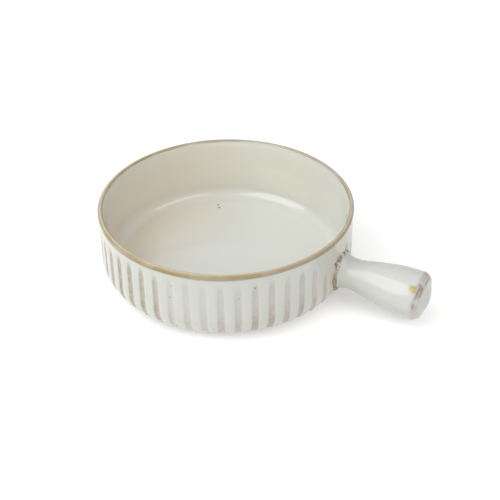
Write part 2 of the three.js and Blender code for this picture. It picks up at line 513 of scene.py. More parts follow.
@dataclass
class BowlBody(Piece):
    """The bowl: a turned shape whose outer wall is pressed with flutes."""

    sizes: BowlSizes
    flutes: FluteSizes = FluteSizes()
    columns_per_flute: int = 16
    flat_rows: int = 6
    fillet_rows: int = 20
    inner_rows: int = 18
    lip_rows: int = 6
    outer_rows: int = 26
    foot_rows: int = 2
    chamfer_rows: int = 3
    underside_rows: int = 4

    def outline(self) -> tuple[Outline, int, int]:
        """Traces the section from the floor's middle over the lip to the underside's middle.

        Returns:
            The outline, the number of the lip's top point and of the point where the bottom corner ends.
        """
        s = self.sizes
        fillet = ProfilePoint(s.inner_radius - s.fillet_radius, s.floor_top + s.fillet_radius)
        section = Outline(ProfilePoint(0, s.floor_top))
        section.curve(self.flat_rows, ProfilePoint(fillet.radius, s.floor_top))
        section.arc(self.fillet_rows, fillet, s.fillet_radius, -90, 0)
        bend = ProfilePoint(s.wall_radius - s.wall_thickness, s.blend_base)
        lip_inside = ProfilePoint(s.rim_radius - 2 * s.lip_round, s.lip_base)
        section.curve(self.inner_rows, bend, lip_inside)
        lip = ProfilePoint(s.rim_radius - s.lip_round, s.lip_base)
        section.arc(self.lip_rows, lip, s.lip_round, 180, 90)
        crown = section.last
        section.arc(self.lip_rows, lip, s.lip_round, 90, 0)
        third = s.lip_blend / 3
        section.curve(
            self.lip_rows,
            ProfilePoint(s.rim_radius, s.lip_base - third),
            ProfilePoint(s.wall_radius, s.blend_base + third),
            ProfilePoint(s.wall_radius, s.blend_base),
        )
        section.curve(self.outer_rows, ProfilePoint(s.wall_foot_radius, s.corner_height))
        corner = ProfilePoint(s.wall_foot_radius - s.corner_radius, s.corner_height)
        section.arc(self.outer_rows, corner, s.corner_radius, 0, -90)
        corner_end = section.last
        foot_outside = corner.radius - s.foot_inset
        foot_inside = foot_outside - s.foot_width
        section.curve(1, ProfilePoint(foot_outside, s.foot_height))
        section.curve(self.foot_rows, ProfilePoint(foot_outside, 0))
        section.curve(self.foot_rows, ProfilePoint(foot_inside, 0))
        section.curve(self.chamfer_rows, ProfilePoint(foot_inside - s.foot_recess, s.foot_recess))
        section.curve(self.underside_rows, ProfilePoint(0, s.foot_recess))
        return section, crown, corner_end

    def build(self, material: Material) -> None:
        """Turns the section, stores the run along it and presses the flutes.

        Args:
            material: the finish of the bowl.
        """
        section, crown, corner_end = self.outline()
        runs = section.runs()
        lip_run = [run - runs[crown] for run in runs]
        columns = self.flutes.count * self.columns_per_flute
        mesh = turned_mesh(self.look_name, section, columns, self.sizes.place, lip_run=lip_run)
        mesh.flip_normals()
        self.model = place_object(self.look_name, mesh)
        self.press_flutes(lip_run[corner_end], material)

    def press_flutes(self, wall_end: float, material: Material) -> None:
        """Presses the flutes with Geometry Nodes and keeps the result as a plain mesh.

        Args:
            wall_end: run from the lip's top to the end of the bottom corner.
            material: the finish that the pressed wall gets.
        """
        given = {"axis_x": self.sizes.axis_x, "wall_end": wall_end, "material": material}
        values = {**asdict(self.flutes), **given}
        modifier = self.model.modifiers.new("flutes", "NODES")
        modifier.node_group = flute_tree(values)
        for item in modifier.node_group.interface.items_tree:
            if item.in_out == "INPUT" and item.name in values:
                modifier[item.identifier] = values[item.name]
        bake_modifiers(self.model)


def flute_tree(values: dict[str, object]) -> NodeTree:
    """Builds the Geometry Nodes tree that presses flutes round an upright axis.

    Each flute is a groove with rounded ends, found by the distance from its centre line along the wall.
    The flutes next to the handle are left out, and those beside them start lower.

    Args:
        values: the values that its inputs will get, by name.

    Returns:
        The node tree.
    """
    tree = bpy.data.node_groups.new("pressed_flutes", "GeometryNodeTree")
    g = Graph(tree)
    geometry = {"geometry": "NodeSocketGeometry"}
    kinds = {name: SOCKET_KINDS[type(value)] for name, value in values.items()}
    given, end = group_ends(tree, {**geometry, **kinds}, geometry)
    place = g.split(g.add("GeometryNodeInputPosition").outputs[0])
    across = g.math("SUBTRACT", place["X"], given["axis_x"])
    radius = g.vector("LENGTH", g.join(across, place["Y"]))
    angle = g.math("ARCTAN2", place["Y"], across)
    pitch = g.math("DIVIDE", FULL_TURN, given["count"])
    index = g.math("ROUND", g.math("DIVIDE", angle, pitch))
    offset = g.math("SUBTRACT", angle, g.product(index, pitch))
    from_handle = g.math("ABSOLUTE", index)
    active = g.math("GREATER_THAN", from_handle, given["plain"])

    def random(low: Value, high: Value, seed: int) -> Socket:
        """Adds a random value for each flute.

        Args:
            low: least value.
            high: greatest value.
            seed: number added to the tree's seed.

        Returns:
            The output socket.
        """
        drawn = {2: low, 3: high, "ID": index, "Seed": g.math("ADD", given["seed"], seed)}
        return g.add("FunctionNodeRandomValue", drawn, data_type="FLOAT").outputs[1]

    nearest = g.math("ADD", given["plain"], 1.0)
    settled = g.math("ADD", nearest, given["settling"])
    drop = g.ramp(from_handle, Step(nearest, settled, given["fade_drop"], 0.0))
    scatter = g.product(random(-1.0, 1.0, 0), given["scatter"])
    top = g.math("ADD", g.math("ADD", given["top"], drop), scatter)
    bottom = g.math("SUBTRACT", given["wall_end"], given["bottom_margin"])
    run = g.add("GeometryNodeInputNamedAttribute", {"Name": "lip_run"}, data_type="FLOAT").outputs[0]
    to_top = g.math("SUBTRACT", top, run)
    past_bottom = g.math("SUBTRACT", run, bottom)
    above = g.math("MAXIMUM", to_top, 0.0)
    below = g.math("MAXIMUM", past_bottom, 0.0)
    distance = g.vector("LENGTH", g.join(g.product(offset, radius), above, below))
    half_width = g.math("DIVIDE", given["width"], 2.0)
    groove = g.ramp(g.math("DIVIDE", distance, half_width), Step(1.0, given["flat_share"]))
    fade_start = g.math("SUBTRACT", top, given["entry"])
    fade_end = g.math("ADD", top, given["fade_length"])
    fade = g.ramp(run, Step(fade_start, fade_end, given["entry_share"], 1.0))
    pressed = g.product(groove, active, fade)
    wave = g.math("COSINE", g.product(offset, given["count"]))
    rib = g.math("DIVIDE", g.math("SUBTRACT", 1.0, wave), 2.0)
    entering = g.ramp(to_top, Step(half_width, 0.0))
    leaving = g.ramp(past_bottom, Step(0.0, half_width, 1.0, 0.0))
    relief = g.ramp(run, Step(g.math("SUBTRACT", bottom, given["run_out"]), bottom, 1.0, 0.0))
    swollen = g.product(rib, entering, leaving, active, given["swell"], relief)
    depth = g.product(given["depth"], random(given["depth_least"], given["depth_most"], 1), relief)
    lift = g.math("SUBTRACT", swollen, g.product(pressed, depth))
    normal = g.add("GeometryNodeInputNormal").outputs[0]
    push = g.add("ShaderNodeVectorMath", {0: normal, "Scale": lift}, operation="SCALE").outputs[0]
    shape = given["geometry"]
    for name, value in (("groove", pressed), ("flute_tone", random(0.0, 1.0, 2))):
        stored = {"Geometry": shape, "Name": name, "Value": value}
        node = g.add("GeometryNodeStoreNamedAttribute", stored, data_type="FLOAT", domain="POINT")
        shape = node.outputs[0]
    moved = g.add("GeometryNodeSetPosition", {"Geometry": shape, "Offset": push}).outputs[0]
    real = g.add("GeometryNodeRealizeInstances", {0: moved}).outputs[0]
    dressed = g.add("GeometryNodeSetMaterial", {"Geometry": real, "Material": given["material"]})
    g.feed(end[0], dressed.outputs[0])
    return tree


@dataclass(frozen=True)
class HandleSizes:
    """Sizes of the stub handle, in metres; its axis starts at the root on the wall and droops."""

    end_radius: float
    root: Vector
    axis_height: float = 25.3 * MM
    droop: float = math.pi / 36
    length: float = 58.5 * MM
    root_radius: float = 12.4 * MM
    neck_radius: float = 10.1 * MM
    neck_offset: float = 7 * MM
    swell_start: float = 0.2
    swell_end: float = 0.5
    end_round: float = 7 * MM
    end_crown: float = 2.2 * MM
    wall: float = 4 * MM
    vent_diameter: float = 3 * MM
    vent_offset: float = 15 * MM

    @classmethod
    def from_frame(cls, bowl: BowlSizes) -> HandleSizes:
        """Reads the end's radius from the CAD node of the handle and puts the root on the wall.

        Args:
            bowl: the bowl's sizes.

        Returns:
            The sizes.
        """
        low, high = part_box(Node.HANDLE.value)
        root = bowl.place(bowl.wall_radius_at(cls.axis_height), cls.axis_height, 0.0)
        return cls(end_radius=(high.y - low.y) / 2, root=root)

    @property
    def tilt(self) -> Matrix:
        """Turn from level to the drooping axis."""
        return Matrix.Rotation(self.droop, 3, "Y")

    def place(self, radius: float, reach: float, angle: float) -> Vector:
        """Finds a point round the handle's axis from its radius, its reach from the wall and its angle."""
        return self.root + self.tilt @ Vector((reach, radius * math.cos(angle), radius * math.sin(angle)))


@dataclass
class Handle(Piece):
    """The stub handle: a turned shape that flares to the wall and to its rounded end."""

    sizes: HandleSizes
    columns: int = 160
    root_rows: int = 4
    neck_rows: int = 14
    swell_rows: int = 36
    round_rows: int = 18
    face_rows: int = 12
    vent_columns: int = 24
    buried: float = 4 * MM

    def outline(self) -> Outline:
        """Traces the handle from inside the bowl's wall to its tip.

        Returns:
            The outline, with distances from the wall along the axis as heights.
        """
        h = self.sizes
        neck = ProfilePoint(h.neck_radius, h.neck_offset)
        shoulder = ProfilePoint(h.end_radius, h.length - h.end_crown - h.end_round)
        swell = shoulder.height - neck.height
        side = Outline(ProfilePoint(0, -self.buried))
        side.curve(1, ProfilePoint(h.root_radius, -self.buried))
        side.curve(self.root_rows, ProfilePoint(h.root_radius, 0))
        side.curve(self.neck_rows, ProfilePoint(neck.radius, neck.height / 3), neck)
        swell_out = ProfilePoint(neck.radius, neck.height + h.swell_start * swell)
        swell_in = ProfilePoint(shoulder.radius, shoulder.height - h.swell_end * swell)
        side.curve(self.swell_rows, swell_out, swell_in, shoulder)
        face_radius = shoulder.radius - h.end_round
        side.arc(self.round_rows, ProfilePoint(face_radius, shoulder.height), h.end_round, 0, 90)
        side.curve(self.face_rows, ProfilePoint(face_radius / 2, h.length), ProfilePoint(0, h.length))
        return side

    def build(self, material: Material) -> None:
        """Turns the outline about the handle's axis, stores the run from its tip and drills the vent.

        Args:
            material: the finish of the handle.
        """
        side = self.outline()
        runs = side.runs()
        tip_run = [runs[-1] - run for run in runs]
        mesh = turned_mesh(self.look_name, side, self.columns, self.sizes.place, tip_run=tip_run)
        mesh.materials.append(material)
        self.model = place_object(self.look_name, mesh)
        self.drill_vent()

    def drill_vent(self) -> None:
        """Cuts the vent underneath with a Boolean and keeps the result as a plain mesh."""
        h = self.sizes
        bit_radius = h.vent_diameter / 2
        deep = h.wall - h.neck_radius
        bit = Outline(ProfilePoint(0, -h.end_radius))
        for corner in ((bit_radius, -h.end_radius), (bit_radius, deep), (0, deep)):
            bit.curve(1, ProfilePoint(*corner))

        def place(radius: float, height: float, angle: float) -> Vector:
            """Finds a point round the vent's axis from its radius, height and angle."""
            local = Vector((h.vent_offset + radius * math.cos(angle), radius * math.sin(angle), height))
            return h.root + h.tilt @ local

        drill = place_object("vent_drill", turned_mesh("vent_drill", bit, self.vent_columns, place))
        cut = self.model.modifiers.new("vent", "BOOLEAN")
        cut.operation = "DIFFERENCE"
        cut.solver = "EXACT"
        cut.object = drill
        bake_modifiers(self.model)
        bpy.data.objects.remove(drill)


@dataclass
class LutingSlip(Piece):
    """The slip squeezed out round the handle's root: an uneven bead that follows the wall."""

    sizes: HandleSizes
    bowl: BowlSizes
    bead_radius: float = 1.9 * MM
    unevenness: float = 0.2
    slow_lobes: int = 3
    fast_lobes: int = 5
    lobe_start: float = 1.0
    search_reach: float = 10 * MM
    search_halvings: int = 40
    columns: int = 240
    sides: int = 12

    def meet(self, turn: float) -> Vector:
        """Finds where the handle's root meets the wall.

        Args:
            turn: angle about the handle's axis.

        Returns:
            The point on the wall.
        """
        near = -self.search_reach
        far = self.search_reach
        for _ in range(self.search_halvings):
            middle = (near + far) / 2
            point = self.sizes.place(self.sizes.root_radius, middle, turn)
            reach = math.hypot(point.x - self.bowl.axis_x, point.y)
            if reach > self.bowl.wall_radius_at(point.z):
                far = middle
            else:
                near = middle
        return point

    def build(self, material: Material) -> None:
        """Sweeps a round section along the line where the handle meets the wall.

        Args:
            material: the finish of the slip.
        """
        along = self.sizes.tilt @ Vector((1, 0, 0))
        points = []
        faces = []
        for column in range(self.columns):
            turn = FULL_TURN * column / self.columns
            centre = self.meet(turn)
            outward = self.sizes.tilt @ Vector((0, math.cos(turn), math.sin(turn)))
            lobes = math.sin(self.slow_lobes * turn + self.lobe_start) * math.cos(self.fast_lobes * turn)
            thick = self.bead_radius * (1 + self.unevenness * (lobes - 1))
            ring = column * self.sides
            following = (column + 1) % self.columns * self.sides
            for corner in range(self.sides):
                bend = FULL_TURN * corner / self.sides
                points.append(centre + thick * (outward * math.cos(bend) + along * math.sin(bend)))
                after = (corner + 1) % self.sides
                faces.append((ring + corner, following + corner, following + after, ring + after))
        mesh = bpy.data.meshes.new(self.look_name)
        mesh.from_pydata(points, [], faces)
        mesh.materials.append(material)
        mesh.shade_smooth()
        self.model = place_object(self.look_name, mesh)


@dataclass
class SharedEffects:
    """Shader node groups that several finishes share; specks are sized in shares of their cells."""

    soft_clouds: Grain = Grain(55.0, 3.0)
    fine_clouds: Grain = Grain(420.0, 3.0)
    speck_least: float = 0.04
    speck_spread: float = 0.1
    speck_core: float = 0.4
    cloud: NodeTree = field(init=False)
    speck: NodeTree = field(init=False)

    def __post_init__(self) -> None:
        """Builds the groups."""
        self.cloud = self.cloud_group()
        self.speck = self.speck_group()

    def cloud_group(self) -> NodeTree:
        """Builds soft and fine clouds of thick and thin glaze.

        Returns:
            The node group: coordinates in, two values round one half out.
        """
        tree = bpy.data.node_groups.new("glaze_clouds", "ShaderNodeTree")
        given, end = group_ends(tree, {"Vector": "NodeSocketVector"}, {"Cloud": NUMBER, "Fine": NUMBER})
        g = Graph(tree)
        for name, grain in (("Cloud", self.soft_clouds), ("Fine", self.fine_clouds)):
            g.feed(end[name], g.noise(given["Vector"], grain)["Fac"])
        return tree

    def speck_group(self) -> NodeTree:
        """Builds small iron specks that show through the glaze.

        Returns:
            The node group: coordinates, cells a metre and share of cells in, a mask out.
        """
        tree = bpy.data.node_groups.new("iron_specks", "ShaderNodeTree")
        inputs = {"Vector": "NodeSocketVector", "Scale": NUMBER, "Share": NUMBER}
        given, end = group_ends(tree, inputs, {"Mask": NUMBER})
        g = Graph(tree)
        placed = {"Vector": given["Vector"], "Scale": given["Scale"]}
        cells = g.add("ShaderNodeTexVoronoi", placed).outputs
        lot = g.add("ShaderNodeSeparateColor", {0: cells["Color"]}).outputs
        chosen = g.math("LESS_THAN", lot[0], given["Share"])
        size = g.math("MULTIPLY_ADD", lot[1], self.speck_spread, self.speck_least)
        spot = g.ramp(cells["Distance"], Step(size, g.product(size, self.speck_core)))
        g.feed(end["Mask"], g.product(spot, chosen))
        return tree


def new_material(name: str) -> tuple[Material, Graph, bpy.types.NodeInputs]:
    """Starts a material.

    Args:
        name: the material's name.

    Returns:
        The material, its graph and the inputs of its shader.
    """
    material = bpy.data.materials.new(name)
    material.use_nodes = True
    tree = material.node_tree
    return material, Graph(tree), tree.nodes["Principled BSDF"].inputs


class Coat:
    """A coat under way: a material with the coordinates, clouds and specks that its colours read."""

    def __init__(self, slot: Slot, effects: SharedEffects, bowl: BowlSizes, grip: HandleSizes) -> None:
        """Starts the material of a slot.

        Args:
            slot: the material slot that it is named for.
            effects: the shared node groups.
            bowl: the bowl's sizes.
            grip: the handle's sizes.
        """
        self.material, self.g, self.shader = new_material(slot.value)
        self.effects = effects
        self.bowl = bowl
        self.grip = grip
        self.vector = self.g.add("ShaderNodeTexCoord").outputs["Object"]
        self.place = self.g.split(self.vector)
        self.clouds = self.g.add("ShaderNodeGroup", {0: self.vector}, node_tree=effects.cloud).outputs

    @cached_property
    def along(self) -> Socket:
        """Place along the handle's direction, from the bowl's axis."""
        return self.g.math("SUBTRACT", self.place["X"], self.bowl.axis_x)

    @cached_property
    def lip_run(self) -> Socket:
        """Run along the section from the top of the lip."""
        return self.attribute("lip_run")

    def attribute(self, name: str) -> Socket:
        """Reads a value stored on the mesh."""
        return self.g.add("ShaderNodeAttribute", attribute_name=name).outputs["Fac"]

    def specks(self, cells: float, share: float) -> Socket:
        """Adds iron specks in a share of so many cells a metre and gives their mask."""
        inputs = {"Vector": self.vector, "Scale": cells, "Share": share}
        return self.g.add("ShaderNodeGroup", inputs, node_tree=self.effects.speck).outputs["Mask"]

    def wandering(self, waves: Waves) -> Socket:
        """Shifts the coordinates by a fine noise, so that marks get uneven edges.

        Args:
            waves: how far and how finely they are shifted.

        Returns:
            The shifted coordinates.
        """
        noise = self.g.noise(self.vector, waves.grain)["Color"]
        centred = self.g.vector("SUBTRACT", noise, (0.5, 0.5, 0.5))
        return self.g.vector("MULTIPLY_ADD", centred, (waves.height,) * 3, self.vector)

    def bump(self, height: Socket, distance: float, before: Socket | None = None) -> Socket:
        """Adds a bump.

        Args:
            height: the height socket, 0 to 1.
            distance: the height of one, in metres.
            before: the normal of an earlier bump.

        Returns:
            The normal socket.
        """
        inputs = {"Height": height, "Distance": distance}
        if before is not None:
            inputs["Normal"] = before
        return self.g.add("ShaderNodeBump", inputs).outputs[0]

    def finish(self, inputs: dict[str, object]) -> Material:
        """Feeds the shader.

        Args:
            inputs: constants or sockets by the names of the shader's inputs.

        Returns:
            The finished material.
        """
        for name, value in inputs.items():
            self.g.feed(self.shader[name], value)
        return self.material


@dataclass(frozen=True)
class Mark:
    """A small spot in the glaze, drawn out upwards by the stretch.

    The turn is about the bowl's axis, in degrees, and the lengths are in metres.
    """

    turn: float
    radius: float
    height: float
    size: float
    stretch: float = 1.0
    core: float = 0.4

    def mask(self, coat: Coat, vector: Socket) -> Socket:
        """Adds the spot as a mask.

        Args:
            coat: the coat that it is in.
            vector: the coordinates.

        Returns:
            The mask socket.
        """
        centre = coat.bowl.place(self.radius, self.height, math.radians(self.turn))
        offset = coat.g.vector("SUBTRACT", vector, tuple(centre))
        squeezed = coat.g.vector("MULTIPLY", offset, (1, 1, 1 / self.stretch))
        away = coat.g.vector("LENGTH", squeezed)
        return coat.g.ramp(away, Step(self.size, self.size * self.core))


@dataclass(frozen=True)
class GlazeFinish:
    """A glossy cream glaze that breaks to tan where it runs thin.

    Runs are measured along the section from the top of the lip, and those to the inside are negative.
    Places along the handle's direction are measured from the bowl's axis. Lengths are in metres.
    """

    cream: tuple = colour(216, 218, 211)
    warm: tuple = colour(223, 220, 205)
    warm_far: tuple = colour(222, 213, 197)
    # A darker copy of the cream for the outer wall and the handle: painted shade that evens their light
    # against the inside.
    shaded_outer_cream: tuple = colour(209, 211, 204)
    # Grey for the floor fillet: partly glaze pooled there, partly painted shade that evens the fillet's
    # light.
    pooled_glaze_and_shade: tuple = colour(202, 203, 196)
    pink: tuple = colour(214, 205, 194)
    taupe: tuple = colour(166, 152, 134)
    olive_stain: tuple = colour(160, 149, 120)
    # Pale tan for the lip's crown: partly glaze colour, partly a painted highlight.
    crown_tan_and_highlight: tuple = colour(205, 187, 148)
    tan: tuple = colour(157, 138, 95)
    grey_tan: tuple = colour(172, 160, 140)
    gold: tuple = colour(184, 162, 100)
    worn_pink: tuple = colour(196, 183, 172)
    worn_dark: tuple = colour(150, 138, 126)
    speck: tuple = colour(88, 74, 62)
    clay: tuple = colour(190, 170, 140)
    roughness: float = 0.03
    stain_roughness: float = 0.12
    clay_roughness: float = 0.8
    body_refraction: float = 1.58
    handle_refraction: float = 1.47
    body_waves: Waves = Waves(0.03 * MM, Grain(70.0, 0.0))
    handle_waves: Waves = Waves(0.35 * MM, Grain(110.0, 0.0))
    throwing_rings: Waves = Waves(0.03 * MM, Grain(260.0, 1.0))
    rings_inside: Step = Step(-3 * MM, -8 * MM)
    cloud_warmth: Step = Step(0.4, 0.8, 0.0, 0.3)
    inside: Step = Step(-1 * MM, -5 * MM)
    outside: Step = Step(1 * MM, 4 * MM)
    wall_warmth: Step = Step(-52 * MM, -24 * MM, 0.0, 0.75)
    wall_warmth_along: Step = Step(5 * MM, 70 * MM, 1.0, 0.2)
    thin_under_lip: Step = Step(-4 * MM, -20 * MM, 0.65, 1.0)
    far_warmth: Step = Step(-10 * MM, -76 * MM)
    streak_grain: Grain = Grain(40.0, 3.0)
    streak_squeeze: tuple = (1, 1, 6)
    streak_warmth: Step = Step(0.4, 0.75, 0.85, 1.15)
    # Reach of that grey from the middle of the floor fillet, and its share along the handle's direction:
    # pooled glaze and painted shade.
    pool_and_shade_edge: float = 11 * MM
    pool_and_shade_core: float = 2 * MM
    pool_and_shade_along: Step = Step(15 * MM, 65 * MM, 0.36, 0.1)
    blush_reach: Step = Step(46 * MM, 12 * MM, 0.0, 0.85)
    stain_in_groove: Step = Step(0.2, 0.7)
    stain_far: Step = Step(8.9 * MM, -29.1 * MM, 0.6, 1.8)
    stain_near: Step = Step(24.9 * MM, 54.9 * MM, 0.0, 0.35)
    stain_high: float = 34 * MM
    stain_low: float = 11 * MM
    stain_high_share: Step = Step(8.9 * MM, -29.1 * MM, 0.38, 0.88)
    stain_by_flute: Step = Step(0.0, 1.0, 0.6, 1.0)
    stain_patches: Step = Step(0.3, 0.65, 0.7, 1.0)
    olive_share: Step = Step(8.9 * MM, -29.1 * MM)
    lip_wander: float = 1.2 * MM
    lip_rise: Step = Step(-2.3 * MM, -1.5 * MM)
    lip_fall: Step = Step(5.0 * MM, 3.8 * MM)
    lip_drawn_up: Step = Step(28.9 * MM, 78.9 * MM, 0.0, 1 * MM)
    lip_patches: Step = Step(0.3, 0.6, 0.75, 1.0)
    # Where the pale crown, partly a painted highlight, turns to tan.
    lip_edge: Step = Step(0.2 * MM, 1.1 * MM)
    lip_grey_back: Step = Step(35 * MM, 70 * MM)
    lip_grey_along: Step = Step(28.9 * MM, 78.9 * MM, 0.0, 0.45)
    bare_foot: Step = Step(1.3 * MM, 0.9 * MM)
    body_speck_cells: float = 150.0
    body_speck_share: float = 0.008
    body_speck_strength: float = 0.75
    body_marks: tuple[Mark, ...] = (
        Mark(121.8, 64.4 * MM, 11.6 * MM, 1.0 * MM),
        Mark(121.5, 60.9 * MM, 11.6 * MM, 1.2 * MM),
        Mark(-51.4, 81.7 * MM, 44.4 * MM, 0.8 * MM),
        Mark(-87.5, 81.4 * MM, 43.1 * MM, 0.6 * MM),
        Mark(-88.5, 81.2 * MM, 34.1 * MM, 0.6 * MM),
        Mark(-58.4, 81.2 * MM, 37.7 * MM, 0.6 * MM),
    )
    joint_strokes: tuple[Mark, ...] = (
        Mark(-7.6, 82 * MM, 36.8 * MM, 1.6 * MM, 1.4),
        Mark(-6.0, 82 * MM, 38.9 * MM, 1.5 * MM, 2.0),
        Mark(-4.0, 82 * MM, 39.4 * MM, 1.4 * MM, 2.2),
        Mark(2.4, 82 * MM, 39.6 * MM, 1.5 * MM, 2.4),
        Mark(4.4, 82 * MM, 40.4 * MM, 1.3 * MM, 2.4),
        Mark(11.6, 82 * MM, 34.0 * MM, 1.6 * MM, 2.6),
    )
    mark_wander: Waves = Waves(3 * MM, Grain(260.0, 1.0))
    worn_turn: float = math.pi / 3
    worn_reach: Step = Step(4.8 * MM, 2.0 * MM)
    worn_ragged: float = 2 * MM
    worn_grain: Grain = Grain(120.0, 1.0)
    worn_patches: Step = Step(0.3, 0.55, 0.35, 1.0)
    worn_rise: Step = Step(10 * MM, 34 * MM, 0.45, 1.0)
    dark_grain: Grain = Grain(480.0, 1.0)
    dark_slant: float = 0.3
    dark_rise: Step = Step(18 * MM, 30 * MM, -0.2, 0.07)
    dark_share: Step = Step(0.46, 0.56)
    gold_spot: Mark = Mark(-4.5, 132.4 * MM, 32.6 * MM, 3.6 * MM)
    gold_strength: float = 0.9
    handle_speck_cells: float = 220.0
    handle_speck_share: float = 0.02
    handle_speck_strength: float = 0.6

    def cover(self, coat: Coat) -> Socket:
        """Colours the cream coat, warmer on the inner wall away from the handle, darker outside as painted
        shade, and greyer round the floor fillet, where pooled glaze and painted shade even out the light.

        Args:
            coat: the bowl's coat.

        Returns:
            The colour socket.
        """
        g = coat.g
        squeezed = g.add("ShaderNodeMapping", {"Vector": coat.vector, "Scale": self.streak_squeeze})
        streaks = g.ramp(g.noise(squeezed.outputs[0], self.streak_grain)["Fac"], self.streak_warmth)
        inside = g.ramp(coat.lip_run, self.inside)
        thin = g.ramp(coat.lip_run, self.thin_under_lip)
        depth = g.ramp(coat.lip_run, self.wall_warmth)
        wall = g.product(inside, depth, streaks, g.ramp(coat.along, self.wall_warmth_along), thin)
        # The outside takes the darker copy of the cream: painted shade.
        cream = g.mix(inside, self.shaded_outer_cream, self.cream)
        base = g.mix(g.ramp(coat.clouds["Cloud"], self.cloud_warmth), cream, self.warm)
        base = g.mix(wall, base, self.warm)
        far = g.product(thin, g.ramp(coat.along, self.far_warmth), inside)
        base = g.mix(far, base, self.warm_far)
        # Grey round the floor fillet: pooled glaze and painted shade.
        from_fillet = g.math("ABSOLUTE", g.math("ADD", coat.lip_run, coat.bowl.fillet_run))
        most = g.ramp(coat.along, self.pool_and_shade_along)
        pool_and_shade = g.ramp(from_fillet, Step(self.pool_and_shade_edge, self.pool_and_shade_core, 0.0, most))
        return g.mix(pool_and_shade, base, self.pooled_glaze_and_shade)

    def flute_stain(self, coat: Coat) -> Socket:
        """Finds how far the clay shows in the flutes: more at their lower ends, most opposite the handle.

        Args:
            coat: the bowl's coat.

        Returns:
            The mask socket.
        """
        g = coat.g
        level = g.math("ADD", g.ramp(coat.along, self.stain_near), g.ramp(coat.along, self.stain_far))
        at_top = g.ramp(coat.along, self.stain_high_share)
        low = g.ramp(coat.place["Z"], Step(self.stain_high, self.stain_low, at_top, 1.0))
        given = g.ramp(coat.attribute("flute_tone"), self.stain_by_flute)
        patch = g.ramp(coat.clouds["Fine"], self.stain_patches)
        groove = g.ramp(coat.attribute("groove"), self.stain_in_groove)
        return g.math("MINIMUM", g.product(groove, given, low, level, patch), 1.0)

    def lip_band(self, coat: Coat) -> Socket:
        """Finds where the glaze breaks to tan over the lip: from inside its crown to a line below its edge.

        Args:
            coat: the bowl's coat.

        Returns:
            The mask socket.
        """
        g = coat.g
        centred = g.math("SUBTRACT", coat.lip_run, self.lip_wander / 2)
        uneven = g.math("MULTIPLY_ADD", coat.clouds["Cloud"], self.lip_wander, centred)
        lower = g.math("ADD", uneven, g.ramp(coat.along, self.lip_drawn_up))
        patch = g.ramp(coat.clouds["Cloud"], self.lip_patches)
        return g.product(g.ramp(uneven, self.lip_rise), g.ramp(lower, self.lip_fall), patch)

    def lip_colour(self, coat: Coat) -> Socket:
        """Colours the lip: pale on the crown, partly glaze colour and partly a painted highlight, tan
        beside it, greyer at the back and by the handle.

        Args:
            coat: the bowl's coat.

        Returns:
            The colour socket.
        """
        g = coat.g
        # Paler on the crown: partly glaze colour, partly painted highlight.
        front = g.mix(g.ramp(g.math("ABSOLUTE", coat.lip_run), self.lip_edge), self.crown_tan_and_highlight, self.tan)
        back = g.ramp(coat.place["Y"], self.lip_grey_back)
        grey = g.math("MAXIMUM", back, g.ramp(coat.along, self.lip_grey_along))
        return g.mix(grey, front, self.grey_tan)

    def body(self, coat: Coat) -> Material:
        """Makes the bowl's glaze, with a blush round the handle's root.

        Args:
            coat: the bowl's coat.

        Returns:
            The material.
        """
        g = coat.g
        base = self.cover(coat)
        from_root = g.vector("DISTANCE", coat.vector, tuple(coat.grip.root))
        blush = g.product(g.ramp(from_root, self.blush_reach), g.ramp(coat.lip_run, self.outside))
        base = g.mix(blush, base, self.pink)
        stain = self.flute_stain(coat)
        stained = g.mix(g.ramp(coat.along, self.olive_share), self.taupe, self.olive_stain)
        base = g.mix(stain, base, stained)
        base = g.mix(self.lip_band(coat), base, self.lip_colour(coat))
        spots = coat.specks(self.body_speck_cells, self.body_speck_share)
        shifted = coat.wandering(self.mark_wander)
        for marks, vector in ((self.body_marks, coat.vector), (self.joint_strokes, shifted)):
            for mark in marks:
                spots = g.math("MAXIMUM", spots, mark.mask(coat, vector))
        base = g.mix(g.product(spots, self.body_speck_strength), base, self.speck)
        bare = g.ramp(coat.place["Z"], self.bare_foot)
        base = g.mix(bare, base, self.clay)
        rough = g.math("MULTIPLY_ADD", stain, self.stain_roughness, self.roughness)
        rough = g.math("MAXIMUM", rough, g.product(bare, self.clay_roughness))
        waves = coat.bump(g.noise(coat.vector, self.body_waves.grain)["Fac"], self.body_waves.height)
        rings = g.noise(g.join(coat.lip_run), self.throwing_rings.grain)["Fac"]
        rings = g.product(rings, g.ramp(coat.lip_run, self.rings_inside))
        normal = coat.bump(rings, self.throwing_rings.height, waves)
        surface = {"Base Color": base, "Roughness": rough, "Normal": normal}
        return coat.finish({**surface, "IOR": self.body_refraction})

    def handle(self, coat: Coat) -> Material:
        """Makes the handle's glaze, which breaks to taupe round its end.

        Args:
            coat: the handle's coat.

        Returns:
            The material.
        """
        g = coat.g
        height = coat.place["Z"]
        tip_run = coat.attribute("tip_run")
